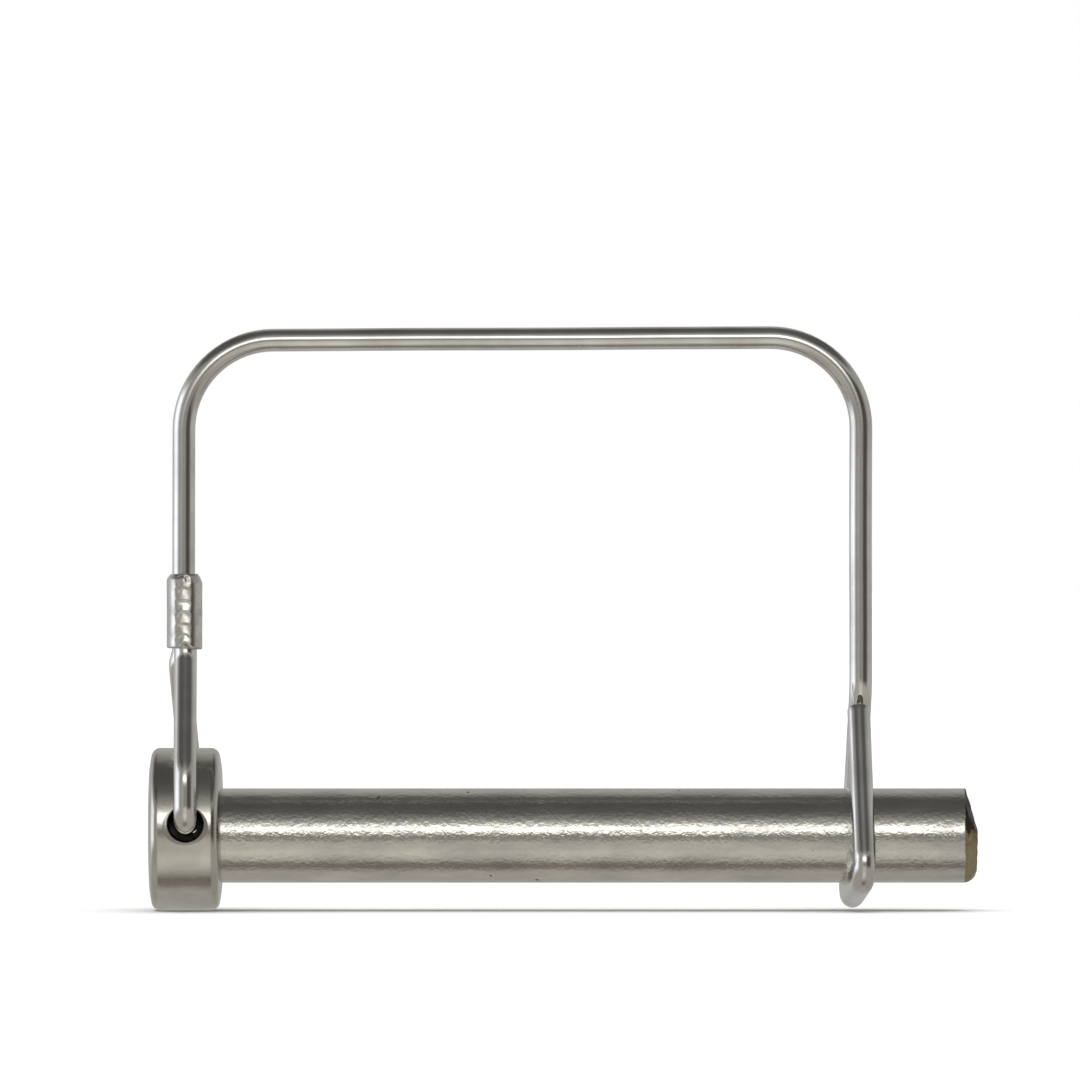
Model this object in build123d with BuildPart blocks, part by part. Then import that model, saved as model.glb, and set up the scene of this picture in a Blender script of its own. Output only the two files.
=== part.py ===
from build123d import *
import os
from math import asin, cos, degrees, radians, sin

# A hitch pin with a sprung wire lock. The origin is on the shank's axis at the head's
# underside; +X runs to the shank's tip, +Z up to the wire's top bar, +Y to the back.

# Shank
shank_diameter = 9.525
window_length = 63.5         # free length of shank between the head and the hook's knee
tip_reach = 12.7             # from the window's end to the shank's tip
tip_length = 1.4             # the cropped, rounded-off end
tip_drop = 1.46              # its flat stands in from the rod's surface by this much
end_recess = 0.4             # the rod stops this far inside the head's outer face

# Head: a turned collar, pressed on the rod a little off centre
head_length = 7.3
head_rise = 0.65             # how far the collar's axis sits above the rod's
seat_width = 0.89            # of each end face's flat, where the rod comes nearest its edge
cone_width = 1.9             # a slight cone runs from that flat out to the head's side
cone_drop = 0.35
rim_radius = 0.9

# Cross hole, drilled through collar and rod
hole_play = 1.1              # the hole is wider than the wire by this much
hole_setback = 3.5           # from the head's underside
hole_rise = 1.3              # above the rod's axis
hole_sink = 0.5              # width of the countersunk ring around each mouth

# Wire
wire_diameter = 2.3
wire_clearance = 0.1         # between wires that lie side by side
lock_split = 0.3             # gap between the two lengths of wire, in the right leg
split_below_corner = 0.8     # from the right corner's end to that gap

# Frame of the bail
bar_height = 49.95           # the top bar's centreline over the left leg
bar_climb = 0.35             # it stands this much higher over the right leg
corner_radius = 9.1
left_leg_step = 0.37         # the left leg stands this much left of the cross hole

# Loop through the head
loop_side_clearance = 0.4    # between the loop's legs and the head's side
loop_straight = 5.0          # the legs run straight this far above the cross hole
loop_bend_radius = 2.0
leg_bend_radius = 4.0
exit_bend_radius = 3.0
back_leg_exit = 0.2          # from the ferrule's mouth to the back leg's first bend
back_leg_bulge = 0.4         # there it springs out to the left
back_leg_lead = 0.5          # and starts towards the back
back_bend_radius = 2.0

# Ferrule: a crimped sleeve round the left leg and the wire's returning end
ferrule_length = 7.5
ferrule_lift = 10.05         # from the head's top to the sleeve
ferrule_wall = 0.56
ferrule_clearance = 0.02
ferrule_twist = 0.25         # the returning end stands this much further right
ferrule_exit = 0.8           # from the sleeve's mouth to the bend below it
tail_recess = 0.3            # the wire's cut end stops this far inside the sleeve

# Hook around the shank
hook_under_gap = 0.12        # between the shank's underside and the wire
hook_back_gap = 0.42         # between the shank's back and the wire
hook_front_gap = 1.0         # between the shank's front and the wire
hook_bow_lift = 10.2         # the right leg leaves its plane this far above the shank
hook_front_tilt = 26.5       # of the front leg, from upright
hook_run_rise = 12.5         # of the run under the shank, towards the front
hook_back_step = 0.7         # the hook's back stands this much left of the right leg
hook_low_step = 1.1          # its lowest bend this much left of the leg
hook_knee_step = 0.2         # its knee, at the window's end, this much right of the leg
hook_end_step = 0.25         # and its cut end this much left of the leg
bow_bend_radius = 5.0
hook_bend_radius = 5.6
knee_bend_radius = 2.0

# Sizes that follow
shank_radius = shank_diameter / 2
shank_length = window_length + tip_reach
wire_radius = wire_diameter / 2
hole_diameter = wire_diameter + hole_play
face_radius = shank_radius + head_rise + seat_width
head_radius = face_radius + cone_width
left_leg_x = -hole_setback - left_leg_step
right_leg_x = window_length + wire_radius - hook_knee_step
loop_leg_y = head_radius + loop_side_clearance + wire_radius
ferrule_bottom = head_rise + head_radius + ferrule_lift
ferrule_top = ferrule_bottom + ferrule_length
tail_y = -(wire_diameter + wire_clearance)
tail_x = left_leg_x + ferrule_twist
bar_end_height = bar_height + bar_climb
split_top = bar_end_height - corner_radius - split_below_corner


def side_line_meet(angle_a, reach_a, angle_b, reach_b):
    """Where two lines in the YZ plane cross, each given by its normal's angle and its reach."""
    a, b = radians(angle_a), radians(angle_b)
    turn = sin(b - a)
    y = (reach_a * sin(b) - reach_b * sin(a)) / turn
    z = (reach_b * cos(a) - reach_a * cos(b)) / turn
    return y, z


def straight_through(path):
    """The plane square to a wire's route at its start."""
    return Plane(origin=path @ 0, z_dir=path % 0)


# Shank: a rod with a worn, rounded crop at its tip
with BuildPart() as pin_shank:
    with BuildSketch(Plane.XZ):
        with BuildLine():
            start_x = -head_length + end_recess
            tip_start = (shank_length - tip_length, shank_radius)
            tip_end = (shank_length, shank_radius - tip_drop)
            Polyline(tip_end, (shank_length, 0), (start_x, 0), (start_x, shank_radius), tip_start)
            TangentArc(tip_start, tip_end, tangent=(1, 0))
        make_face()
    revolve(axis=Axis.X)
    with Locations(Plane(origin=(-hole_setback, 0, hole_rise), z_dir=(0, 1, 0))):
        Hole(hole_diameter / 2)
pin_shank.part.label = "pin_shank"

# Head: the collar around the rod, with slightly coned faces and rounded rims
with BuildPart() as head_collar:
    with BuildSketch(Plane.XZ):
        with BuildLine():
            Polyline(
                (-head_length, 0),
                (-head_length, face_radius),
                (-head_length + cone_drop, head_radius),
                (-cone_drop, head_radius),
                (0, face_radius),
                (0, 0),
                close=True,
            )
        make_face()
    revolve(axis=Axis.X)
    rims = head_collar.edges().filter_by(GeomType.CIRCLE).sort_by(SortBy.RADIUS)[-2:]
    fillet(rims, rim_radius)
    with BuildSketch(Plane.YZ):
        with Locations((0, -head_rise)):
            Circle(shank_radius)
    extrude(amount=-head_length, mode=Mode.SUBTRACT)
    mouth_rise = hole_rise - head_rise
    mouth_reach = (head_radius**2 - mouth_rise**2) ** 0.5
    for side in (-1, 1):
        mouth = Plane(origin=(-hole_setback, side * mouth_reach, mouth_rise), z_dir=(0, side, 0))
        with Locations(mouth):
            CounterSinkHole(
                hole_diameter / 2, hole_diameter / 2 + hole_sink, depth=mouth_reach
            )
head_collar.part.locate(Location((0, 0, head_rise)))
head_collar.part.label = "head_collar"

# Bail: the cut end in the ferrule, down the front, through the head, up the back,
# up through the ferrule as the left leg, along the top bar and over the right corner
loop_top = hole_rise + loop_straight
exit_height = ferrule_bottom - ferrule_exit
with BuildPart() as bail_wire:
    with BuildLine() as bail_route:
        FilletPolyline(
            (tail_x, tail_y, ferrule_top - tail_recess),
            (tail_x, tail_y, exit_height),
            (-hole_setback, -loop_leg_y, loop_top),
            (-hole_setback, -loop_leg_y, hole_rise),
            (-hole_setback, loop_leg_y, hole_rise),
            (-hole_setback, loop_leg_y, loop_top),
            (left_leg_x - back_leg_bulge, back_leg_lead, exit_height - ferrule_exit),
            (left_leg_x, 0, ferrule_bottom - back_leg_exit),
            (left_leg_x, 0, bar_height),
            (right_leg_x, 0, bar_end_height),
            (right_leg_x, 0, split_top),
            radius=[
                exit_bend_radius,
                leg_bend_radius,
                loop_bend_radius,
                loop_bend_radius,
                leg_bend_radius,
                back_bend_radius,
                back_bend_radius,
                corner_radius,
                corner_radius,
            ],
        )
    with BuildSketch(straight_through(bail_route.line)):
        Circle(wire_radius)
    sweep(path=bail_route.line)
bail_wire.part.label = "bail_wire"

# Hook: the right leg bows back past the shank, hugs its underside, turns up at a tight
# knee in front and leans back until its cut end meets the leg
under_reach = shank_radius + hook_under_gap + wire_radius
back_reach = shank_radius + hook_back_gap + wire_radius
front_reach = shank_radius + hook_front_gap + wire_radius
bow_start = shank_radius + hook_bow_lift
back_angle = degrees(asin(back_reach / bow_start))
run_angle = -90 - hook_run_rise
middle_angle = (back_angle + run_angle) / 2
front_angle = -180 - hook_front_tilt
back_corner = side_line_meet(back_angle, back_reach, middle_angle, back_reach)
low_corner = side_line_meet(middle_angle, back_reach, run_angle, under_reach)
knee_corner = side_line_meet(run_angle, under_reach, front_angle, front_reach)
end_offset = wire_radius * cos(radians(hook_front_tilt + back_angle))
end_reach = back_reach - wire_radius - wire_clearance - end_offset
hook_end = side_line_meet(back_angle, end_reach, front_angle, front_reach)
with BuildPart() as latch_hook:
    with BuildLine() as hook_route:
        FilletPolyline(
            (right_leg_x, 0, split_top - lock_split),
            (right_leg_x, 0, bow_start),
            (right_leg_x - hook_back_step, *back_corner),
            (right_leg_x - hook_low_step, *low_corner),
            (right_leg_x + hook_knee_step, *knee_corner),
            (right_leg_x - hook_end_step, *hook_end),
            radius=[bow_bend_radius, hook_bend_radius, hook_bend_radius, knee_bend_radius],
        )
    with BuildSketch(straight_through(hook_route.line)):
        Circle(wire_radius)
    sweep(path=hook_route.line)
latch_hook.part.label = "latch_hook"

# Ferrule: a stadium sleeve that holds the left leg and the cut end side by side
lobe_radius = wire_radius + ferrule_clearance
lobe_spacing = ((tail_x - left_leg_x) ** 2 + tail_y**2) ** 0.5
middle_x = (tail_x + left_leg_x) / 2
ferrule_turn = degrees(asin((tail_x - left_leg_x) / lobe_spacing))
with BuildPart() as ferrule:
    with BuildSketch(Plane.XY.offset(ferrule_bottom)):
        with Locations(Location((middle_x, tail_y / 2), 90 + ferrule_turn)):
            SlotCenterToCenter(lobe_spacing, 2 * (lobe_radius + ferrule_wall))
            SlotCenterToCenter(lobe_spacing, 2 * lobe_radius, mode=Mode.SUBTRACT)
    extrude(amount=ferrule_length)
ferrule.part.label = "ferrule"

os.makedirs("parts", exist_ok=True)
for piece in (pin_shank, head_collar, bail_wire, latch_hook, ferrule):
    export_step(piece.part, f"parts/{piece.part.label}.step")
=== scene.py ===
"""A hitch pin with a sprung wire lock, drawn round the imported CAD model. Lengths are in metres."""
import math

import bmesh
import bpy
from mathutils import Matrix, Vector, noise


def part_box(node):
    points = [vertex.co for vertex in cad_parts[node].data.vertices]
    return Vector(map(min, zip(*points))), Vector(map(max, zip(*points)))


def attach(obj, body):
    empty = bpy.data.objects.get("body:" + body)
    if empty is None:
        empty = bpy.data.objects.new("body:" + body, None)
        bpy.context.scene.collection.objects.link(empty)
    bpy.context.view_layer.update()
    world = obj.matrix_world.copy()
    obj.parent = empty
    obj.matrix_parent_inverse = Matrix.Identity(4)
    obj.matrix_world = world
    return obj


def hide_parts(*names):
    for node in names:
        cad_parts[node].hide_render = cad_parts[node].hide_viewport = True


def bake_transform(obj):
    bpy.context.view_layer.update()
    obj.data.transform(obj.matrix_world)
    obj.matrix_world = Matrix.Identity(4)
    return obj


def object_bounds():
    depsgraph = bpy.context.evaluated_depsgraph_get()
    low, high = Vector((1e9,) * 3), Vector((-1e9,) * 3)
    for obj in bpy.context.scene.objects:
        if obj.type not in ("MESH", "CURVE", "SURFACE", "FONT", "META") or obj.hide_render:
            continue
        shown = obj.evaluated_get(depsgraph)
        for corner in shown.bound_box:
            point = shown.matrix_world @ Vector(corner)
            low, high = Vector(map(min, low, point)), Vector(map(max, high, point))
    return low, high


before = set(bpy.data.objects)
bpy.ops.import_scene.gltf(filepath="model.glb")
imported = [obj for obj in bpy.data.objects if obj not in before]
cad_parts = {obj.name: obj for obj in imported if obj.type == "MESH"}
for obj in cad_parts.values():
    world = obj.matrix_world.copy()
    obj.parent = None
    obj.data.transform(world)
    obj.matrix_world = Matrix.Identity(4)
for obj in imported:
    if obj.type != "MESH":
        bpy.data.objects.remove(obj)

cad_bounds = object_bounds()
MM = 0.001

# Sizes read from the frame
shank_low, shank_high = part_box("pin_shank")
head_low, head_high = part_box("head_collar")
_, bail_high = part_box("bail_wire")
ferrule_low, ferrule_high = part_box("ferrule")
SHANK_RADIUS = shank_high.z
SHANK_TIP = shank_high.x
SHANK_END = shank_low.x
HEAD_RADIUS = (head_high.z - head_low.z) / 2
HEAD_RISE = (head_high.z + head_low.z) / 2
HEAD_LENGTH = -head_low.x

# Head and shank, as in the CAD
HEAD_FACE_RADIUS = HEAD_RADIUS - 1.9 * MM
HEAD_CONE_DROP = 0.35 * MM
HEAD_RIM_RADIUS = 0.9 * MM
TIP_LENGTH = 1.4 * MM
TIP_DROP = 1.46 * MM
HOLE_RADIUS = 1.7 * MM
HOLE = Vector((-3.5, 0, 1.3)) * MM

# Narrower than in the CAD and close to the wire, so that no light shows past it
ROD_HOLE_RADIUS = 1.22 * MM

# How far past the hole's radius a face still gets the hole's painted shade, in the head and in the rod
SHADE_MARGIN_HEAD = 0.02 * MM
SHADE_MARGIN_ROD = 0.6 * MM

# The drill for the cross hole: a straight bore that opens into a trumpet mouth at the collar's side
FLARE_DEPTH = 0.75 * MM
FLARE_RADIUS = 0.6 * MM
FLARE_ANGLE = math.radians(54)
FLARE_STEPS = 8
DRILL_OVERRUN = 1.2 * MM
DRILL_SEGMENTS = 72

# Wire, as in the CAD
WIRE_RADIUS = 1.15 * MM
WIRE_CLEARANCE = 0.1 * MM
LEFT_LEG_X = HOLE.x - 0.37 * MM
RIGHT_LEG_X = 64.45 * MM
BAR_LEFT_HEIGHT = 49.95 * MM
BAR_RIGHT_HEIGHT = 50.3 * MM
CORNER_RADIUS = 9.1 * MM
LOOP_LEG_Y = bail_high.y - WIRE_RADIUS
LOOP_TOP = HOLE.z + 5 * MM
TAIL_X = LEFT_LEG_X + 0.25 * MM
TAIL_Y = -(2 * WIRE_RADIUS + WIRE_CLEARANCE)
TAIL_RECESS = 0.3 * MM
FERRULE_EXIT = 0.8 * MM
BACK_LEG_BULGE = 0.4 * MM
BACK_LEG_LEAD = 0.5 * MM
BACK_LEG_EXIT = 0.2 * MM

# Bends along the wire, from its end in the ferrule to the hook's knee
TAIL_BEND = 3 * MM
LEG_BEND = 4 * MM
LOOP_BEND = 2 * MM
BULGE_BEND = 2 * MM
BOW_BEND = 5 * MM
HOOK_BEND = 5.6 * MM
KNEE_BEND = 2 * MM

# Hook, as in the CAD
HOOK_UNDER = SHANK_RADIUS + 0.12 * MM + WIRE_RADIUS
HOOK_BACK = SHANK_RADIUS + 0.42 * MM + WIRE_RADIUS
HOOK_FRONT = SHANK_RADIUS + 1.0 * MM + WIRE_RADIUS
BOW_START = SHANK_RADIUS + 10.2 * MM
FRONT_TILT = 26.5
RUN_RISE = 12.5
HOOK_BACK_X = RIGHT_LEG_X - 0.7 * MM
HOOK_LOW_X = RIGHT_LEG_X - 1.1 * MM
HOOK_KNEE_X = RIGHT_LEG_X + 0.2 * MM
HOOK_END_X = RIGHT_LEG_X - 0.25 * MM


# ---------------------------------------------------------------- shapes


def rounded(points, radii, spacing, arc_step=math.radians(5)):
    """Points along straight runs joined by round bends, one radius for each inner corner."""
    line = [points[0].copy()]

    def run_to(target):
        start = line[-1].copy()
        steps = max(1, math.ceil((target - start).length / spacing))
        for i in range(1, steps + 1):
            line.append(start.lerp(target, i / steps))

    for before, corner, after, radius in zip(points, points[1:], points[2:], radii):
        inward = (corner - before).normalized()
        outward = (after - corner).normalized()
        turn = inward.angle(outward)
        run_to(corner - inward * radius * math.tan(turn / 2))
        start = line[-1].copy()
        side = (outward - inward * inward.dot(outward)).normalized()
        steps = max(2, math.ceil(turn / arc_step))
        for i in range(1, steps + 1):
            angle = turn * i / steps
            line.append(start + side * radius * (1 - math.cos(angle)) + inward * radius * math.sin(angle))
    run_to(points[-1])
    return line


def new_object(name, mesh_maker, materials, body=None, replaced=()):
    """A mesh object from a bmesh, with its materials, body and the CAD nodes that it stands for."""
    mesh = bpy.data.meshes.new(name)
    bm = bmesh.new()
    mesh_maker(bm)
    bmesh.ops.recalc_face_normals(bm, faces=bm.faces)
    bm.to_mesh(mesh)
    bm.free()
    obj = bpy.data.objects.new(name, mesh)
    bpy.context.scene.collection.objects.link(obj)
    for material in materials:
        mesh.materials.append(material)
    mesh.shade_smooth()
    if body:
        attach(obj, body)
    if replaced:
        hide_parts(*replaced)
    return obj


def bridge(bm, ring_a, ring_b, material=0):
    """Quads between two closed rings of as many vertices."""
    count = len(ring_a)
    for i in range(count):
        j = (i + 1) % count
        face = bm.faces.new((ring_a[i], ring_a[j], ring_b[j], ring_b[i]))
        face.material_index = material


def close_ring(bm, ring, centre, material=0):
    """A fan of triangles from a ring to a middle point."""
    middle = bm.verts.new(centre)
    for i, vertex in enumerate(ring):
        face = bm.faces.new((vertex, ring[(i + 1) % len(ring)], middle))
        face.material_index = material
    return middle


def turned(bm, profile, segments, axis_height, place=None):
    """Revolves (x, radius) points round the X axis at a height; place may move each vertex."""
    rings = []
    for x, radius in profile:
        ring = []
        for i in range(segments):
            angle = 2 * math.pi * i / segments
            spot = Vector((x, radius * math.cos(angle), axis_height + radius * math.sin(angle)))
            ring.append(bm.verts.new(place(spot) if place else spot))
        rings.append(ring)
    for ring_a, ring_b in zip(rings, rings[1:]):
        bridge(bm, ring_a, ring_b)
    return rings


def cut_with(obj, cutter):
    """Applies an exact boolean difference and removes the cutter."""
    modifier = obj.modifiers.new("cut", "BOOLEAN")
    modifier.operation = "DIFFERENCE"
    modifier.solver = "EXACT"
    modifier.object = cutter
    bpy.context.view_layer.update()
    graph = bpy.context.evaluated_depsgraph_get()
    cut = bpy.data.meshes.new_from_object(obj.evaluated_get(graph))
    obj.modifiers.clear()
    old = obj.data
    obj.data = cut
    cut.name = old.name
    bpy.data.meshes.remove(old)
    bpy.data.objects.remove(cutter)


def sharpen(obj, degrees):
    """Smooth shading, with edges steeper than this kept crisp."""
    obj.data.shade_smooth()
    obj.data.set_sharp_from_angle(angle=math.radians(degrees))


def cross_drill(bore):
    """A drill along Y through the cross hole, with a trumpet mouth at each side of the head."""
    half = [(0.0, bore), (HEAD_RADIUS - FLARE_DEPTH, bore)]
    for i in range(1, FLARE_STEPS + 1):
        angle = FLARE_ANGLE * i / FLARE_STEPS
        reach = HEAD_RADIUS - FLARE_DEPTH + FLARE_RADIUS * math.sin(angle)
        half.append((reach, bore + FLARE_RADIUS * (1 - math.cos(angle))))
    reach, radius = half[-1]
    half.append((reach + DRILL_OVERRUN, radius + DRILL_OVERRUN * math.tan(FLARE_ANGLE)))
    profile = [(-y, r) for y, r in reversed(half[1:])] + half

    def make(bm):
        rings = []
        for y, r in profile:
            ring = []
            for i in range(DRILL_SEGMENTS):
                angle = 2 * math.pi * i / DRILL_SEGMENTS
                spot = (HOLE.x + r * math.cos(angle), y, HOLE.z + r * math.sin(angle))
                ring.append(bm.verts.new(spot))
            rings.append(ring)
        for ring_a, ring_b in zip(rings, rings[1:]):
            bridge(bm, ring_a, ring_b)
        close_ring(bm, rings[0], (HOLE.x, profile[0][0], HOLE.z))
        close_ring(bm, rings[-1], (HOLE.x, profile[-1][0], HOLE.z))

    return new_object("drill", make, [])


# ---------------------------------------------------------------- materials


class Nodes:
    """A small helper that adds and links shader nodes."""

    def __init__(self, tree):
        self.tree = tree

    def add(self, kind, values=None, **settings):
        made = self.tree.nodes.new(kind)
        for key, value in settings.items():
            setattr(made, key, value)
        for key, value in (values or {}).items():
            self.put(made.inputs[key], value)
        return made

    def put(self, socket, value):
        if isinstance(value, bpy.types.NodeSocket):
            self.tree.links.new(value, socket)
        else:
            socket.default_value = value

    def noise(self, vector, scale, detail=2.0, roughness=0.5):
        values = {"Vector": vector, "Scale": scale, "Detail": detail, "Roughness": roughness}
        return self.add("ShaderNodeTexNoise", values).outputs["Fac"]

    def stretched(self, vector, scale):
        values = {0: vector, 1: scale}
        return self.add("ShaderNodeVectorMath", values, operation="MULTIPLY").outputs[0]

    def spread(self, value, low, high, to_low=0, to_high=1):
        values = {"Value": value, "From Min": low, "From Max": high, "To Min": to_low, "To Max": to_high}
        return self.add("ShaderNodeMapRange", values).outputs[0]

    def mix(self, factor, colour_a, colour_b):
        made = self.add("ShaderNodeMix", data_type="RGBA")
        self.put(made.inputs["Factor"], factor)
        self.put(made.inputs[6], colour_a)
        self.put(made.inputs[7], colour_b)
        return made.outputs[2]

    def bump(self, height, distance, strength=1.0, normal=None):
        values = {"Height": height, "Distance": distance, "Strength": strength}
        if normal:
            values["Normal"] = normal
        return self.add("ShaderNodeBump", values).outputs[0]


def new_metal(name):
    """A metal material and its node helper; the caller sets colour, roughness and normal."""
    material = bpy.data.materials.new(name)
    material.use_nodes = True
    shader = material.node_tree.nodes["Principled BSDF"]
    shader.inputs["Metallic"].default_value = 1.0
    return material, Nodes(material.node_tree), shader


def finish_metal(nodes, shader, colour, roughness, normal):
    nodes.put(shader.inputs["Base Color"], colour)
    nodes.put(shader.inputs["Roughness"], roughness)
    nodes.put(shader.inputs["Normal"], normal)


def wire_material():
    """Bright plated spring wire, with drawing lines along it and a few duller patches."""
    material, nodes, shader = new_metal("bright_wire")
    along = nodes.add("ShaderNodeAttribute", attribute_name="wire_space").outputs["Vector"]
    lines = nodes.noise(nodes.stretched(along, (1.0, 1.0, 0.02)), scale=9000)
    ripples = nodes.noise(nodes.stretched(along, (1.0, 1.0, 0.35)), scale=700)
    patches = nodes.noise(along, scale=160, detail=3.0, roughness=0.6)
    clean = (0.80, 0.79, 0.77, 1)
    dull = (0.62, 0.60, 0.57, 1)
    colour = nodes.mix(nodes.spread(patches, 0.35, 0.7), clean, dull)
    roughness = nodes.spread(patches, 0.3, 0.75, to_low=0.07, to_high=0.2)
    normal = nodes.bump(lines, distance=0.004 * MM, strength=0.5)
    normal = nodes.bump(ripples, distance=0.02 * MM, strength=0.6, normal=normal)
    finish_metal(nodes, shader, colour, roughness, normal)
    return material


def ferrule_material():
    """The crimped sleeve: bright plating, rubbed where the crimping tool pressed it."""
    material, nodes, shader = new_metal("ferrule_metal")
    place = nodes.add("ShaderNodeTexCoord").outputs["Object"]
    patches = nodes.noise(place, scale=600, detail=4.0, roughness=0.6)
    dimples = nodes.noise(nodes.stretched(place, (1.0, 1.0, 0.5)), scale=2600)
    clean = (0.78, 0.77, 0.75, 1)
    rubbed = (0.55, 0.53, 0.49, 1)
    colour = nodes.mix(nodes.spread(patches, 0.35, 0.7), clean, rubbed)
    roughness = nodes.spread(patches, 0.3, 0.7, to_low=0.14, to_high=0.3)
    normal = nodes.bump(dimples, distance=0.012 * MM, strength=0.6)
    finish_metal(nodes, shader, colour, roughness, normal)
    return material


def collar_material():
    """Zinc-plated turned steel: fine rings round the collar's axis, on its side and its faces."""
    material, nodes, shader = new_metal("collar_steel")
    place = nodes.add("ShaderNodeTexCoord").outputs["Object"]
    split = nodes.add("ShaderNodeSeparateXYZ", {0: place}).outputs
    lowered = nodes.add("ShaderNodeMath", {0: split[2], 1: HEAD_RISE}, operation="SUBTRACT").outputs[0]
    flat = nodes.add("ShaderNodeCombineXYZ", {0: split[1], 1: lowered}).outputs[0]
    radius = nodes.add("ShaderNodeVectorMath", {0: flat}, operation="LENGTH").outputs["Value"]
    rings_at = nodes.add("ShaderNodeCombineXYZ", {0: split[0], 1: radius}).outputs[0]
    rings = nodes.noise(rings_at, scale=5200, detail=3.0, roughness=0.7)
    grain = nodes.noise(place, scale=2600, detail=3.0, roughness=0.6)
    patches = nodes.noise(place, scale=240, detail=3.0, roughness=0.6)
    clean = (0.66, 0.645, 0.60, 1)
    dull = (0.54, 0.52, 0.475, 1)
    colour = nodes.mix(nodes.spread(patches, 0.3, 0.7), clean, dull)
    roughness = nodes.spread(grain, 0.3, 0.7, to_low=0.10, to_high=0.18)
    normal = nodes.bump(rings, distance=0.006 * MM, strength=0.6)
    normal = nodes.bump(grain, distance=0.012 * MM, strength=0.6, normal=normal)
    finish_metal(nodes, shader, colour, roughness, normal)
    return material


def shank_material():
    """Zinc-plated drawn rod with a fine sparkling grain and a few dark pits."""
    material, nodes, shader = new_metal("shank_steel")
    place = nodes.add("ShaderNodeTexCoord").outputs["Object"]
    grain = nodes.noise(place, scale=2300, detail=2.0, roughness=0.6)
    ripples = nodes.noise(nodes.stretched(place, (0.4, 1.0, 1.0)), scale=620)
    patches = nodes.noise(nodes.stretched(place, (0.5, 1.0, 1.0)), scale=330, detail=3.0, roughness=0.6)
    pits = nodes.spread(nodes.noise(place, scale=900, detail=1.0), 0.24, 0.2)
    clean = (0.70, 0.68, 0.62, 1)
    dull = (0.53, 0.52, 0.50, 1)
    pitted = (0.16, 0.12, 0.08, 1)
    colour = nodes.mix(nodes.spread(patches, 0.3, 0.7), clean, dull)
    colour = nodes.mix(pits, colour, pitted)
    roughness = nodes.spread(patches, 0.3, 0.7, to_low=0.11, to_high=0.2)
    normal = nodes.bump(grain, distance=0.045 * MM, strength=0.9)
    normal = nodes.bump(ripples, distance=0.04 * MM, strength=0.7, normal=normal)
    finish_metal(nodes, shader, colour, roughness, normal)
    return material


def hole_shade_material():
    """Painted shade for the cross hole, which lies in shadow: its drilled wall and the rod's surface
    round it, coloured near black.
    """
    material, nodes, shader = new_metal("hole_shade")
    place = nodes.add("ShaderNodeTexCoord").outputs["Object"]
    patches = nodes.noise(place, scale=900, detail=3.0, roughness=0.6)
    # Both tones are painted shade for the unlit hole, not the steel's own colour
    dark = (0.13, 0.12, 0.11, 1)
    darkest = (0.07, 0.065, 0.06, 1)
    colour = nodes.mix(nodes.spread(patches, 0.3, 0.7), dark, darkest)
    roughness = nodes.spread(patches, 0.3, 0.7, to_low=0.45, to_high=0.65)
    normal = nodes.bump(patches, distance=0.03 * MM, strength=0.6)
    finish_metal(nodes, shader, colour, roughness, normal)
    return material


def crop_material():
    """The cropped tip: torn steel, darkened above as painted shade, and stained olive and rust below."""
    material, nodes, shader = new_metal("cropped_steel")
    place = nodes.add("ShaderNodeTexCoord").outputs["Object"]
    height = nodes.add("ShaderNodeSeparateXYZ", {0: place}).outputs[2]
    torn = nodes.noise(nodes.stretched(place, (1.0, 1.0, 0.5)), scale=1500, detail=4.0, roughness=0.7)
    specks = nodes.noise(place, scale=1100)
    lifted = nodes.spread(torn, 0, 1, to_low=-2.2 * MM, to_high=2.2 * MM)
    level = nodes.add("ShaderNodeMath", {0: height, 1: lifted}, operation="ADD").outputs[0]
    olive = (0.34, 0.29, 0.17, 1)
    dark = (0.035, 0.03, 0.024, 1)
    rusty = (0.28, 0.12, 0.06, 1)
    # Near black above is painted shade; the olive below is a real stain
    stain_and_shade = nodes.mix(nodes.spread(level, -0.2 * MM, 1.0 * MM), olive, dark)
    rust = nodes.spread(specks, 0.58, 0.70, to_high=0.6)
    colour = nodes.mix(rust, stain_and_shade, rusty)
    roughness = nodes.spread(torn, 0.3, 0.7, to_low=0.3, to_high=0.55)
    normal = nodes.bump(torn, distance=0.12 * MM, strength=0.8)
    metal_share = 0.85
    shader.inputs["Metallic"].default_value = metal_share
    finish_metal(nodes, shader, colour, roughness, normal)
    return material


# ---------------------------------------------------------------- wire

WIRE_SEGMENTS = 28
WIRE_STEP = 0.8 * MM
WANDER_SEED = 7              # without it the wire's wander would differ from run to run
WANDER_SCALE = 60
WANDER = 0.045               # how far drawn wire strays from its line, in millimetres
END_DOME = 0.02              # how far a cut end bulges, in millimetres


def lines_meet(angle_a, reach_a, angle_b, reach_b):
    """Where two lines in the YZ plane cross, each given by its normal's angle and its reach."""
    a, b = math.radians(angle_a), math.radians(angle_b)
    turn = math.sin(b - a)
    y = (reach_a * math.sin(b) - reach_b * math.sin(a)) / turn
    z = (reach_b * math.cos(a) - reach_a * math.cos(b)) / turn
    return y, z


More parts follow.
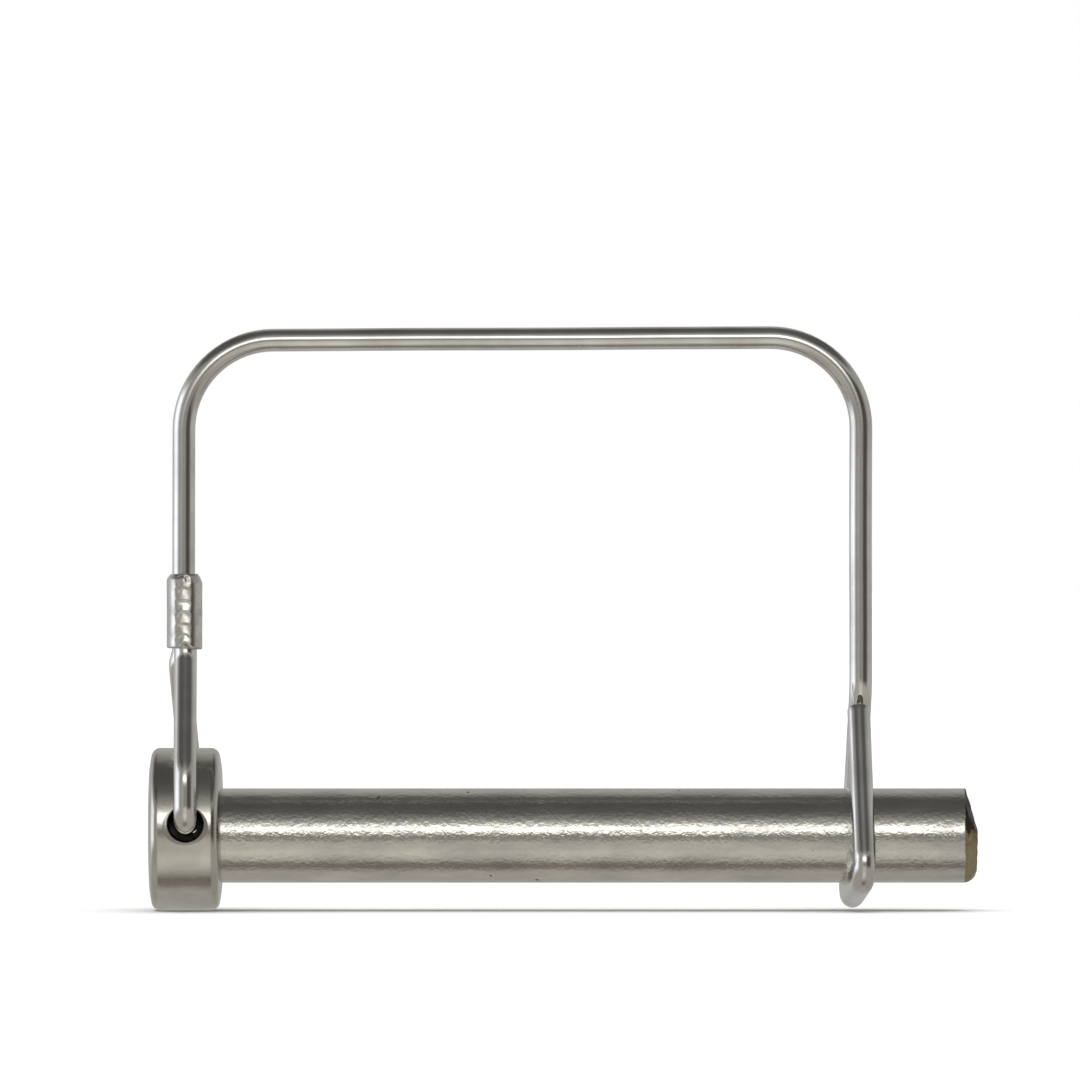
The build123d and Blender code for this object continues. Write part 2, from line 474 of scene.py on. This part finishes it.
def wire_route():
    """The whole wire's line, from its end in the ferrule to its cut end over the hook."""
    back = math.degrees(math.asin(HOOK_BACK / BOW_START))
    run = -90 - RUN_RISE
    middle = (back + run) / 2
    front = -180 - FRONT_TILT
    end_offset = WIRE_RADIUS * math.cos(math.radians(FRONT_TILT + back))
    end_reach = HOOK_BACK - WIRE_RADIUS - WIRE_CLEARANCE - end_offset
    exit_height = ferrule_low.z - FERRULE_EXIT
    corners = [
        ((TAIL_X, TAIL_Y, ferrule_high.z - TAIL_RECESS), None),
        ((TAIL_X, TAIL_Y, exit_height), TAIL_BEND),
        ((HOLE.x, -LOOP_LEG_Y, LOOP_TOP), LEG_BEND),
        ((HOLE.x, -LOOP_LEG_Y, HOLE.z), LOOP_BEND),
        ((HOLE.x, LOOP_LEG_Y, HOLE.z), LOOP_BEND),
        ((HOLE.x, LOOP_LEG_Y, LOOP_TOP), LEG_BEND),
        ((LEFT_LEG_X - BACK_LEG_BULGE, BACK_LEG_LEAD, exit_height - FERRULE_EXIT), BULGE_BEND),
        ((LEFT_LEG_X, 0, ferrule_low.z - BACK_LEG_EXIT), BULGE_BEND),
        ((LEFT_LEG_X, 0, BAR_LEFT_HEIGHT), CORNER_RADIUS),
        ((RIGHT_LEG_X, 0, BAR_RIGHT_HEIGHT), CORNER_RADIUS),
        ((RIGHT_LEG_X, 0, BOW_START), BOW_BEND),
        ((HOOK_BACK_X, *lines_meet(back, HOOK_BACK, middle, HOOK_BACK)), HOOK_BEND),
        ((HOOK_LOW_X, *lines_meet(middle, HOOK_BACK, run, HOOK_UNDER)), HOOK_BEND),
        ((HOOK_KNEE_X, *lines_meet(run, HOOK_UNDER, front, HOOK_FRONT)), KNEE_BEND),
        ((HOOK_END_X, *lines_meet(back, end_reach, front, HOOK_FRONT)), None),
    ]
    points = [Vector(point) for point, _ in corners]
    radii = [radius for _, radius in corners[1:-1]]
    return rounded(points, radii, spacing=WIRE_STEP)


# How a cut end narrows: (distance from the end, share of the radius)
CUT_END = ((0.42 * MM, 1.0), (0.26 * MM, 0.975), (0.12 * MM, 0.90), (0.03 * MM, 0.80), (0.0, 0.68))


def make_wire(bm):
    """A tube along the route, whose frame is carried along without twist."""
    noise.seed_set(WANDER_SEED)
    line = wire_route()
    first = (line[1] - line[0]).normalized()
    last = (line[-1] - line[-2]).normalized()
    stations = [(line[0] + first * back, share) for back, share in reversed(CUT_END)]
    stations += [(point, 1.0) for point in line[1:-1]]
    stations += [(line[-1] - last * back, share) for back, share in CUT_END]
    space = bm.verts.layers.float_vector.new("wire_space")
    across = Vector((1, 0, 0))
    before = first
    travelled = 0.0
    rings = []
    for index, (point, share) in enumerate(stations):
        if 0 < index < len(stations) - 1:
            heading = (stations[index + 1][0] - stations[index - 1][0]).normalized()
        else:
            heading = first if index == 0 else last
        across = before.rotation_difference(heading) @ across
        across = (across - heading * across.dot(heading)).normalized()
        upward = heading.cross(across)
        if index:
            travelled += (point - stations[index - 1][0]).length
        wander = noise.noise_vector(point * WANDER_SCALE) * WANDER * MM
        wander -= heading * wander.dot(heading)
        ring = []
        for i in range(WIRE_SEGMENTS):
            angle = 2 * math.pi * i / WIRE_SEGMENTS
            spoke = across * math.cos(angle) + upward * math.sin(angle)
            vertex = bm.verts.new(point + wander + spoke * WIRE_RADIUS * share)
            flat = Vector((math.cos(angle), math.sin(angle), 0)) * WIRE_RADIUS
            vertex[space] = flat + Vector((0, 0, travelled))
            ring.append(vertex)
        rings.append(ring)
        before = heading
    for ring_a, ring_b in zip(rings, rings[1:]):
        bridge(bm, ring_a, ring_b)
    for ring, heading, point in ((rings[0], -first, line[0]), (rings[-1], last, line[-1])):
        middle = close_ring(bm, ring, point + heading * END_DOME * MM)
        middle[space] = ring[0][space]


# ---------------------------------------------------------------- ferrule

SLEEVE_WALL = 0.58 * MM
SLEEVE_RADIUS = WIRE_RADIUS + SLEEVE_WALL - 0.02 * MM
SLEEVE_BORE = WIRE_RADIUS - 0.01 * MM   # a hair inside the wire, so that no gap shows
FERRULE_LEVELS = 96
FERRULE_AROUND = 168

# Marks that the crimping jaw left down the front and the back. Lengths are in millimetres.
CRIMP_TEETH = 6
CRIMP_STEP = 0.12            # how much deeper a mark gets on its way up, before it steps out
CRIMP_FLAT = 0.07            # how deep the whole strip of marks is pressed
CRIMP_SHIFT = 0.12           # how far left of the middle the strip lies
CRIMP_HALF_WIDTH = 0.72
CRIMP_FACING = 0.5           # only walls that face forward or back more than this are marked
TOOTH_BOW = 0.16             # how much a mark drops towards its sides, as a share of its height
TOOTH_RAGGED = 0.13
TOOTH_RAMP = 0.84            # the shares of a mark that slope in and that step out again
TOOTH_DROP = 0.16
RAGGED_SCALE = 1300
RAGGED_STRETCH = (1.4, 0.7)  # along X and Z
DENT_DEPTH = 0.022
DENT_EVERYWHERE = 0.3        # the share of the dents that lies outside the strip too

# The two mouths. Lengths are in millimetres.
PINCH_DEPTH = 0.42           # how far the upper mouth is pinched in
PINCH_RIGHT = 1.0            # how far down the pinch goes, on the right and on the left
PINCH_LEFT = 0.6
PINCH_CURVE = 1.3
PINCH_ALL_ROUND = 0.35       # the pinch's share everywhere, and its further share at the sides
PINCH_SIDES = 0.65
LOWER_RIM = (0.10, 0.25)     # how far a rim is rounded in, and over what height
UPPER_RIM = (0.08, 0.2)
MOST_INSET = 0.42            # keeps the outside clear of the bore
NOTCH_HALF_WIDTH = 0.55
NOTCH_HEIGHT = 0.55
DROOP = 0.12


def stadium(share, radius):
    """A point and its outward direction on a stadium round the left leg and the cut end."""
    front = Vector((TAIL_X, TAIL_Y, 0))
    rear = Vector((LEFT_LEG_X, 0, 0))
    long_side = (rear - front).length
    forward = (front - rear).normalized()
    rightward = Vector((-forward.y, forward.x, 0))
    cap = math.pi * radius
    run = share * (2 * cap + 2 * long_side)
    if run < cap:
        angle = run / radius
        outward = rightward * math.cos(angle) + forward * math.sin(angle)
        return front + outward * radius, outward
    run -= cap
    if run < long_side:
        return front - forward * run - rightward * radius, -rightward
    run -= long_side
    if run < cap:
        angle = run / radius
        outward = -rightward * math.cos(angle) - forward * math.sin(angle)
        return rear + outward * radius, outward
    run -= cap
    return rear + forward * run + rightward * radius, rightward


def crimp_depth(spot, outward, level):
    """How far the crimping jaw pushed the sleeve in at a place on its wall."""
    facing = max(0.0, abs(outward.y) - CRIMP_FACING) / (1 - CRIMP_FACING)
    sideways = (spot.x - (TAIL_X + LEFT_LEG_X) / 2) / MM + CRIMP_SHIFT
    strip = facing * math.exp(-((sideways / CRIMP_HALF_WIDTH) ** 4))
    stretch_x, stretch_z = RAGGED_STRETCH
    ragged = noise.noise(Vector((spot.x * stretch_x, spot.y, spot.z * stretch_z)) * RAGGED_SCALE)
    tooth = (level * CRIMP_TEETH + TOOTH_BOW * abs(sideways) + TOOTH_RAGGED * ragged) % 1.0
    lean = tooth / TOOTH_RAMP if tooth < TOOTH_RAMP else (1 - tooth) / TOOTH_DROP
    pressed = strip * (CRIMP_FLAT + CRIMP_STEP * lean) + DENT_DEPTH * ragged * (DENT_EVERYWHERE + strip)
    return pressed * MM


def mouth_inset(outward, rise, from_top):
    """How far in the wall is pinched and rounded at the two mouths."""
    pinch_reach = PINCH_RIGHT if outward.x > 0 else PINCH_LEFT
    pinch = max(0.0, 1 - from_top / (pinch_reach * MM)) ** PINCH_CURVE
    edge = LOWER_RIM[0] * max(0.0, 1 - rise / (LOWER_RIM[1] * MM)) ** 2
    edge += UPPER_RIM[0] * max(0.0, 1 - from_top / (UPPER_RIM[1] * MM)) ** 2
    return (PINCH_DEPTH * pinch * (PINCH_ALL_ROUND + PINCH_SIDES * abs(outward.x)) + edge) * MM


def mouth_lift(spot, outward):
    """How far the lower mouth is drawn up into a notch in front, less its droop on the right."""
    sideways = (spot.x - TAIL_X) / MM
    narrowing = math.exp(-((sideways / NOTCH_HALF_WIDTH) ** 2))
    notch = max(0.0, -outward.y) ** 2 * narrowing * NOTCH_HEIGHT * MM
    droop = DROOP * MM * max(0.0, outward.x)
    return notch - droop


def make_ferrule(bm):
    """A crimped sleeve with a pinched mouth above and a flared, notched mouth below."""
    outer, inner = [], []
    height = ferrule_high.z - ferrule_low.z
    for level in range(FERRULE_LEVELS + 1):
        share = level / FERRULE_LEVELS
        rise = share * height
        from_top = height - rise
        out_ring, in_ring = [], []
        for i in range(FERRULE_AROUND):
            spot, outward = stadium(i / FERRULE_AROUND, SLEEVE_RADIUS)
            spot.z = ferrule_low.z + rise
            inset = crimp_depth(spot, outward, share) + mouth_inset(outward, rise, from_top)
            spot -= outward * min(inset, MOST_INSET * MM)
            spot.z += mouth_lift(spot, outward) * (1 - share) ** 3
            out_ring.append(bm.verts.new(spot))
            hole, _ = stadium(i / FERRULE_AROUND, SLEEVE_BORE)
            hole.z = spot.z
            in_ring.append(bm.verts.new(hole))
        outer.append(out_ring)
        inner.append(in_ring)
    for level in range(FERRULE_LEVELS):
        bridge(bm, outer[level], outer[level + 1])
        bridge(bm, inner[level + 1], inner[level])
    bridge(bm, outer[-1], inner[-1])
    bridge(bm, inner[0], outer[0])


# ---------------------------------------------------------------- head and shank

TURNED_SEGMENTS = 160
HEAD_FACE_BEND = 6 * MM
HEAD_STEP = 0.3 * MM
HEAD_ARC_STEP = math.radians(6)
BORE_SEGMENTS = 96
BORE_OVERRUN = 1 * MM


def make_head(bm):
    """The turned collar: a straight band between rounded rims and slightly coned faces."""
    face, side = HEAD_FACE_RADIUS, HEAD_RADIUS
    corners = [
        (-HEAD_LENGTH, 0.0),
        (-HEAD_LENGTH, face),
        (-HEAD_LENGTH + HEAD_CONE_DROP, side),
        (-HEAD_CONE_DROP, side),
        (0.0, face),
        (0.0, 0.0),
    ]
    points = [Vector((x, 0, r)) for x, r in corners]
    radii = (HEAD_FACE_BEND, HEAD_RIM_RADIUS, HEAD_RIM_RADIUS, HEAD_FACE_BEND)
    line = rounded(points, radii, spacing=HEAD_STEP, arc_step=HEAD_ARC_STEP)
    profile = [(point.x, point.z) for point in line[1:-1]]
    rings = turned(bm, profile, TURNED_SEGMENTS, HEAD_RISE)
    close_ring(bm, rings[0], (-HEAD_LENGTH, 0, HEAD_RISE))
    close_ring(bm, rings[-1], (0, 0, HEAD_RISE))


def make_bore(bm):
    """The rod's place in the collar, as a cutter."""
    start, end = -HEAD_LENGTH - BORE_OVERRUN, BORE_OVERRUN
    rings = turned(bm, [(start, SHANK_RADIUS), (end, SHANK_RADIUS)], BORE_SEGMENTS, 0)
    close_ring(bm, rings[0], (start, 0, 0))
    close_ring(bm, rings[-1], (end, 0, 0))


END_CHAMFER = 0.1 * MM
END_CENTRE_RADIUS = 0.02 * MM
BODY_STEPS = 150
CROWN_STEPS = 22
FACE_STEPS = 30
CROP_MARGIN = 0.06 * MM

# Tears in the cropped steel: each one's noise scale and its depth in millimetres
TORN = ((1300, 0.06), (480, 0.10))
TORN_BIAS = 0.05
TORN_ONSET = 1.5             # how soon the tears reach their whole depth along the tip

# Flats that the cropping blades left on the tip. Each has the angle round the rod that it faces,
# how far its facing leans from the rod's axis, both in degrees, and how far from the axis it
# meets the end, in millimetres.
CROP_FLATS = (
    (90, 15.5, 0.54),
    (58, 24, 1.9),
    (124, 26, 2.1),
    (178, 48, 3.25),
    (215, 38, 3.33),
    (300, 33, 3.45),
    (338, 52, 3.22),
    (20, 40, 3.0),
    (240, 24, 3.74),
)


def crop(spot):
    """Moves a point of the tip on to the flats and roughens it."""
    start = SHANK_TIP - TIP_LENGTH
    if spot.x <= start:
        return spot
    ahead = (spot.x - start) / TIP_LENGTH
    for around, tilt, reach in CROP_FLATS:
        a, t = math.radians(around), math.radians(tilt)
        facing = Vector((math.cos(t), math.sin(t) * math.cos(a), math.sin(t) * math.sin(a)))
        over = spot.dot(facing) - SHANK_TIP * math.cos(t) - reach * MM * math.sin(t)
        if over > 0:
            spot = spot - facing * over
    torn = sum(noise.noise(spot * scale) * depth for scale, depth in TORN)
    spot.x -= max(0.0, torn + TORN_BIAS) * MM * min(1.0, ahead * TORN_ONSET)
    return spot


def make_shank(bm):
    """A rod with a worn, rounded crop at its tip; the crop has the second material."""
    tip_start = SHANK_TIP - TIP_LENGTH
    body_start = SHANK_END + END_CHAMFER
    body_length = tip_start - SHANK_END - END_CHAMFER
    profile = [
        (SHANK_END, END_CENTRE_RADIUS),
        (SHANK_END, SHANK_RADIUS - END_CHAMFER),
        (body_start, SHANK_RADIUS),
    ]
    for i in range(1, BODY_STEPS + 1):
        profile.append((body_start + body_length * i / BODY_STEPS, SHANK_RADIUS))
    for i in range(1, CROWN_STEPS + 1):
        angle = math.radians(90) * i / CROWN_STEPS
        x = tip_start + TIP_LENGTH * math.sin(angle)
        profile.append((x, SHANK_RADIUS - TIP_DROP * (1 - math.cos(angle))))
    face_radius = SHANK_RADIUS - TIP_DROP
    for i in range(1, FACE_STEPS):
        profile.append((SHANK_TIP, face_radius * (1 - i / FACE_STEPS)))
    rings = turned(bm, profile, TURNED_SEGMENTS, 0, crop)
    close_ring(bm, rings[0], (SHANK_END, 0, 0))
    close_ring(bm, rings[-1], crop(Vector((SHANK_TIP, 0, 0))))
    edge = tip_start + CROP_MARGIN
    for face in bm.faces:
        if face.calc_center_median().x > edge:
            face.material_index = 1


def paint_hole_shade(obj, index, reach):
    """Gives the faces this near to the cross hole's axis another of the object's materials, the hole's
    painted shade.
    """
    for face in obj.data.polygons:
        if math.hypot(face.center.x - HOLE.x, face.center.z - HOLE.z) < reach:
            face.material_index = index


# ---------------------------------------------------------------- assembly


def build():
    """All visible pieces; all but the wire are put on a body."""
    stood_for = ("bail_wire", "latch_hook")
    bright = [wire_material()]
    wire = new_object("spring_wire", make_wire, bright, replaced=stood_for)
    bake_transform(wire)

    new_object("crimped_ferrule", make_ferrule, [ferrule_material()], "bail", ("ferrule",))

    # The cross hole's wall, and the rod's surface round it, get a near-black painted shade
    hole_shade = hole_shade_material()
    head = new_object("turned_head", make_head, [collar_material(), hole_shade])
    cut_with(head, new_object("bore", make_bore, []))
    cut_with(head, cross_drill(HOLE_RADIUS))
    paint_hole_shade(head, 1, HOLE_RADIUS + SHADE_MARGIN_HEAD)
    sharpen(head, degrees=32)
    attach(head, "pin")
    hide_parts("head_collar")

    shank = new_object("cropped_shank", make_shank, [shank_material(), crop_material(), hole_shade])
    cut_with(shank, cross_drill(ROD_HOLE_RADIUS))
    paint_hole_shade(shank, 2, HOLE_RADIUS + SHADE_MARGIN_ROD)
    sharpen(shank, degrees=28)
    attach(shank, "pin")
    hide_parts("pin_shank")


# ---------------------------------------------------------------- stage

FLOOR_RADIUS = 8.0
FLOOR_GAP = 0.02 * MM
FLOOR_COLOUR = (0.88, 0.88, 0.88, 1)
FILL_STRENGTH = 3.1
FILL_SPREAD = math.radians(80)
PALE = (1.0, 1.0, 1.0, 1)

CAMERA_DISTANCE = 1.3
CAMERA_SPAN = 108.98 * MM
CAMERA_X = 32.09 * MM
CAMERA_Z = 29.82 * MM


def make_floor():
    """A plain pale floor just under the head. The metal reflects the studio and not the floor."""
    mesh = bpy.data.meshes.new("floor")
    bm = bmesh.new()
    bmesh.ops.create_circle(bm, cap_ends=True, segments=96, radius=FLOOR_RADIUS)
    bm.to_mesh(mesh)
    bm.free()
    floor = bpy.data.objects.new("floor", mesh)
    floor.location.z = cad_bounds[0].z - FLOOR_GAP
    floor.visible_glossy = False
    bpy.context.scene.collection.objects.link(floor)
    material = bpy.data.materials.new("pale_floor")
    material.use_nodes = True
    shader = material.node_tree.nodes["Principled BSDF"]
    shader.inputs["Base Color"].default_value = FLOOR_COLOUR
    shader.inputs["Roughness"].default_value = 0.9
    shader.inputs["Specular IOR Level"].default_value = 0.0
    mesh.materials.append(material)


def make_fill():
    """A broad soft light from above, which lights the floor and stays out of the metal."""
    data = bpy.data.lights.new("fill", "SUN")
    data.energy = FILL_STRENGTH
    data.angle = FILL_SPREAD
    lamp = bpy.data.objects.new("fill", data)
    lamp.visible_glossy = False
    bpy.context.scene.collection.objects.link(lamp)


# The studio as the metal sees it: each stop is an angle in degrees, a brightness and a tint.
PLAIN = (1.0, 0.985, 0.95)
WARM = (1.0, 0.98, 0.90)
COOL = (0.95, 0.98, 1.04)
BROWN = (1.0, 0.88, 0.80)
# Up and over: from straight behind, past below, the front at 0 and above, to behind again
UP_AND_OVER = (
    (-180, 0.46, PLAIN),
    (-100, 0.48, PLAIN),
    (-92, 0.45, BROWN),
    (-86, 0.27, BROWN),
    (-74, 0.22, BROWN),
    (-67, 0.38, WARM),
    (-56, 0.60, WARM),
    (-42, 0.74, WARM),
    (-30, 0.62, WARM),
    (-16, 0.60, WARM),
    (-9, 0.42, WARM),
    (-4, 0.24, PLAIN),
    (2, 0.30, PLAIN),
    (8, 0.90, PLAIN),
    (13, 2.3, PLAIN),
    (21, 2.4, PLAIN),
    (26, 1.0, PLAIN),
    (35, 0.46, PLAIN),
    (46, 0.30, PLAIN),
    (56, 0.16, PLAIN),
    (72, 0.115, PLAIN),
    (98, 0.10, PLAIN),
    (109, 0.14, PLAIN),
    (120, 0.32, PLAIN),
    (140, 0.48, PLAIN),
    (180, 0.46, PLAIN),
)
# Round about: from straight behind, past the left, the front at 0 and the right, to behind again
ROUND_ABOUT = (
    (-180, 0.46, PLAIN),
    (-148, 0.50, PLAIN),
    (-120, 0.72, COOL),
    (-104, 1.30, COOL),
    (-78, 1.50, COOL),
    (-66, 1.05, COOL),
    (-54, 0.45, PLAIN),
    (-40, 0.34, PLAIN),
    (-24, 0.46, WARM),
    (4, 0.50, WARM),
    (14, 0.34, WARM),
    (24, 0.13, BROWN),
    (36, 0.085, BROWN),
    (54, 0.10, BROWN),
    (66, 0.25, PLAIN),
    (78, 0.45, PLAIN),
    (96, 0.48, PLAIN),
    (180, 0.46, PLAIN),
)
# What the sides turn to higher up, low down and overhead, and how far up each change runs
HIGH_SIDES = (0.36, 0.355, 0.34, 1)
LOW_SIDES = (0.42, 0.405, 0.375, 1)
OVERHEAD = (0.105, 0.104, 0.10, 1)
HIGH_FADE = (0.34, 0.48)
LOW_FADE = (-0.34, -0.14)
OVERHEAD_FADE = (0.54, 0.68)
SIDE_FADE = (0.12, 0.42)     # how far to the side UP_AND_OVER gives way to ROUND_ABOUT


def make_world():
    """A studio painted by direction: seen whole by the metal, and plain and pale behind the object."""
    world = bpy.data.worlds.new("studio")
    bpy.context.scene.world = world
    world.use_nodes = True
    nodes = Nodes(world.node_tree)
    toward = nodes.add("ShaderNodeTexCoord").outputs["Generated"]
    x, y, z = nodes.add("ShaderNodeSeparateXYZ", {0: toward}).outputs
    ahead = nodes.add("ShaderNodeMath", {0: y, 1: -1.0}, operation="MULTIPLY").outputs[0]

    def painted(side, stops):
        angle = nodes.add("ShaderNodeMath", {0: side, 1: ahead}, operation="ARCTAN2").outputs[0]
        share = nodes.spread(angle, -math.pi, math.pi)
        ramp = nodes.add("ShaderNodeValToRGB", {"Fac": share})
        band = ramp.color_ramp
        band.interpolation = "LINEAR"
        for degrees, _, _ in stops[1:-1]:
            band.elements.new(degrees / 360 + 0.5)
        for element, (degrees, brightness, tint) in zip(band.elements, stops):
            element.position = degrees / 360 + 0.5
            element.color = (*(brightness * part for part in tint), 1)
        return ramp.outputs["Color"]

    aside = nodes.add("ShaderNodeMath", {0: x}, operation="ABSOLUTE").outputs[0]
    to_the_side = nodes.spread(aside, *SIDE_FADE)
    sides = nodes.mix(nodes.spread(z, *HIGH_FADE), painted(x, ROUND_ABOUT), HIGH_SIDES)
    sides = nodes.mix(nodes.spread(z, *OVERHEAD_FADE), sides, OVERHEAD)
    sides = nodes.mix(nodes.spread(z, *LOW_FADE, to_low=1, to_high=0), sides, LOW_SIDES)
    studio = nodes.mix(to_the_side, painted(z, UP_AND_OVER), sides)
    seen = nodes.add("ShaderNodeLightPath").outputs["Is Camera Ray"]
    nodes.put(world.node_tree.nodes["Background"].inputs["Color"], nodes.mix(seen, studio, PALE))


def make_camera():
    """Straight from the front, from far enough away that nothing looks near."""
    data = bpy.data.cameras.new("camera")
    data.sensor_width = 36
    data.lens = data.sensor_width * CAMERA_DISTANCE / CAMERA_SPAN
    data.clip_end = 50
    camera = bpy.data.objects.new("camera", data)
    camera.location = (CAMERA_X, -CAMERA_DISTANCE, CAMERA_Z)
    camera.rotation_euler = (math.radians(90), 0, 0)
    bpy.context.scene.collection.objects.link(camera)
    bpy.context.scene.camera = camera


build()
make_floor()
make_fill()
make_world()
make_camera()
bpy.context.scene.view_settings.view_transform = "Standard"
